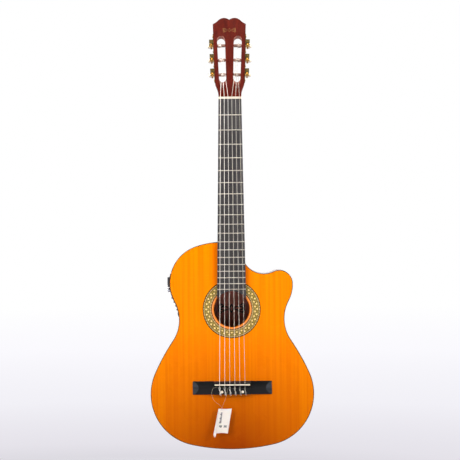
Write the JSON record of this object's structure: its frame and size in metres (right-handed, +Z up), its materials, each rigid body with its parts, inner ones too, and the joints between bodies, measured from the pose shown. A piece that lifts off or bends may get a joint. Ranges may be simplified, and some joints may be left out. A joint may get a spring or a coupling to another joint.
{
  "type": "cutaway classical guitar",
  "caption": "Cutaway classical guitar with slotted headstock, geared tuning machines, inlaid rosette, tie bridge and a preamp in the bass rib",
  "frame": {"origin": "middle of the nut's front edge, on the glue plane between neck and fingerboard, where the arms of a wall hanger carry the flare of the headstock", "axes": "+X to the treble side, +Y to the back (the soundboard's face is y = 0 and looks along -Y), +Z up the neck to the headstock"},
  "size_m": [0.372, 0.1178, 0.9891],
  "materials": {
    "spruce": "gloss",
    "mahogany": "gloss",
    "veneer": "gloss",
    "binding": "gloss",
    "inner_wood": "matte",
    "rosette": "gloss",
    "ebonised": "satin",
    "bone": "satin",
    "pearl": "pearl",
    "nickel": "polished",
    "gold": "polished",
    "wound_string": "wound",
    "nylon": "clear",
    "black_plastic": "matte",
    "chrome": "polished",
    "display": "gloss",
    "battery": "satin",
    "card": "matte",
    "thread": "clear"
  },
  "bodies": {
    "guitar": {"soundboard": "spruce", "neck": "mahogany", "headstock": "mahogany", "rib_bass": "mahogany", "rib_treble": "mahogany", "back_plate": "mahogany", "headstock_veneer": "veneer", "binding": "binding", "linings": "inner_wood", "neck_block": "inner_wood", "tail_block": "inner_wood", "soundboard_braces": "inner_wood", "back_braces": "inner_wood", "rosette": "rosette", "bridge": "ebonised", "fingerboard": "ebonised", "saddle": "bone", "nut": "bone", "bridge_dots": "pearl", "frets": "nickel", "bridge_bolts": "nickel", "jack_socket": "nickel", "tuner_plate_bass": "gold", "tuner_plate_treble": "gold", "wood_screws": "gold", "bass_strings": "wound_string", "treble_strings": "nylon", "preamp_panel": "black_plastic", "preamp_case": "black_plastic", "piezo_pickup": "black_plastic", "jack_lead": "black_plastic", "preamp_display": "display", "battery": "battery", "tag_loop": "thread"},
    "key_1": {"worm_1": "gold", "button_1": "pearl"},
    "string_roller_1": {"roller_1": "gold"},
    "key_2": {"worm_2": "gold", "button_2": "pearl"},
    "string_roller_2": {"roller_2": "gold"},
    "key_3": {"worm_3": "gold", "button_3": "pearl"},
    "string_roller_3": {"roller_3": "gold"},
    "key_4": {"worm_4": "gold", "button_4": "pearl"},
    "string_roller_4": {"roller_4": "gold"},
    "key_5": {"worm_5": "gold", "button_5": "pearl"},
    "string_roller_5": {"roller_5": "gold"},
    "key_6": {"worm_6": "gold", "button_6": "pearl"},
    "string_roller_6": {"roller_6": "gold"},
    "volume_knob": {"preamp_knob": "chrome"},
    "bass_slider": {"slider_bass": "black_plastic"},
    "middle_slider": {"slider_middle": "black_plastic"},
    "treble_slider": {"slider_treble": "black_plastic"},
    "presence_slider": {"slider_presence": "black_plastic"},
    "tuner_switch": {"tuner_button": "black_plastic"},
    "door": {"battery_door": "black_plastic"},
    "tag": {"hang_tag": "card"}
  },
  "joints": [
    {"name": "key_1_turn", "type": "hinge", "parent": "guitar", "child": "key_1", "pos_m": [0.03987, 0.02385, 0.06552], "axis": [0, 0.9703, -0.2419], "continuous": true},
    {"name": "roller_1_turn", "type": "hinge", "parent": "guitar", "child": "string_roller_1", "pos_m": [0.03417, 0.02161, 0.05652], "axis": [0.9995, -0.0077, -0.031], "continuous": true},
    {"name": "key_2_turn", "type": "hinge", "parent": "guitar", "child": "key_2", "pos_m": [0.04099, 0.03231, 0.09946], "axis": [0, 0.9703, -0.2419], "continuous": true},
    {"name": "roller_2_turn", "type": "hinge", "parent": "guitar", "child": "string_roller_2", "pos_m": [0.03529, 0.03007, 0.09046], "axis": [0.9995, -0.0077, -0.031], "continuous": true},
    {"name": "key_3_turn", "type": "hinge", "parent": "guitar", "child": "key_3", "pos_m": [0.0421, 0.04077, 0.1334], "axis": [0, 0.9703, -0.2419], "continuous": true},
    {"name": "roller_3_turn", "type": "hinge", "parent": "guitar", "child": "string_roller_3", "pos_m": [0.03641, 0.03853, 0.12441], "axis": [0.9995, -0.0077, -0.031], "continuous": true},
    {"name": "key_4_turn", "type": "hinge", "parent": "guitar", "child": "key_4", "pos_m": [-0.0421, 0.04077, 0.1334], "axis": [0, 0.9703, -0.2419], "continuous": true},
    {"name": "roller_4_turn", "type": "hinge", "parent": "guitar", "child": "string_roller_4", "pos_m": [-0.03641, 0.03853, 0.12441], "axis": [0.9995, 0.0077, 0.031], "continuous": true},
    {"name": "key_5_turn", "type": "hinge", "parent": "guitar", "child": "key_5", "pos_m": [-0.04099, 0.03231, 0.09946], "axis": [0, 0.9703, -0.2419], "continuous": true},
    {"name": "roller_5_turn", "type": "hinge", "parent": "guitar", "child": "string_roller_5", "pos_m": [-0.03529, 0.03007, 0.09046], "axis": [0.9995, 0.0077, 0.031], "continuous": true},
    {"name": "key_6_turn", "type": "hinge", "parent": "guitar", "child": "key_6", "pos_m": [-0.03987, 0.02385, 0.06552], "axis": [0, 0.9703, -0.2419], "continuous": true},
    {"name": "roller_6_turn", "type": "hinge", "parent": "guitar", "child": "string_roller_6", "pos_m": [-0.03417, 0.02161, 0.05652], "axis": [0.9995, 0.0077, 0.031], "continuous": true},
    {"name": "volume_turn", "type": "hinge", "parent": "guitar", "child": "volume_knob", "pos_m": [-0.1412, 0.045, -0.4345], "axis": [-0.9833, 0, -0.1819], "range_deg": [-140, 140]},
    {"name": "bass_slide", "type": "slide", "parent": "guitar", "child": "bass_slider", "axis": [0, 1, 0], "range_m": [-0.008, 0.008]},
    {"name": "middle_slide", "type": "slide", "parent": "guitar", "child": "middle_slider", "axis": [0, 1, 0], "range_m": [-0.008, 0.008]},
    {"name": "treble_slide", "type": "slide", "parent": "guitar", "child": "treble_slider", "axis": [0, 1, 0], "range_m": [-0.008, 0.008]},
    {"name": "presence_slide", "type": "slide", "parent": "guitar", "child": "presence_slider", "axis": [0, 1, 0], "range_m": [-0.008, 0.008]},
    {"name": "tuner_press", "type": "slide", "parent": "guitar", "child": "tuner_switch", "axis": [0.992, 0, 0.1265], "range_m": [0, 0.0009], "stiffness_N_per_m": 300, "springref_m": -0.0005},
    {"name": "door_swing", "type": "hinge", "parent": "guitar", "child": "door", "pos_m": [-0.14457, 0.045, -0.4259], "axis": [0, -1, 0], "range_deg": [0, 100]},
    {"name": "tag_swing", "type": "hinge", "parent": "guitar", "child": "tag", "pos_m": [-0.0236, -0.0042, -0.7064], "axis": [0, 1, 0], "range_deg": [-12, 12]}
  ],
  "couplings": [
    {"joint": "roller_1_turn", "follows": "key_1_turn", "ratio": 0.066667},
    {"joint": "roller_2_turn", "follows": "key_2_turn", "ratio": 0.066667},
    {"joint": "roller_3_turn", "follows": "key_3_turn", "ratio": 0.066667},
    {"joint": "roller_4_turn", "follows": "key_4_turn", "ratio": 0.066667},
    {"joint": "roller_5_turn", "follows": "key_5_turn", "ratio": 0.066667},
    {"joint": "roller_6_turn", "follows": "key_6_turn", "ratio": 0.066667}
  ]
}
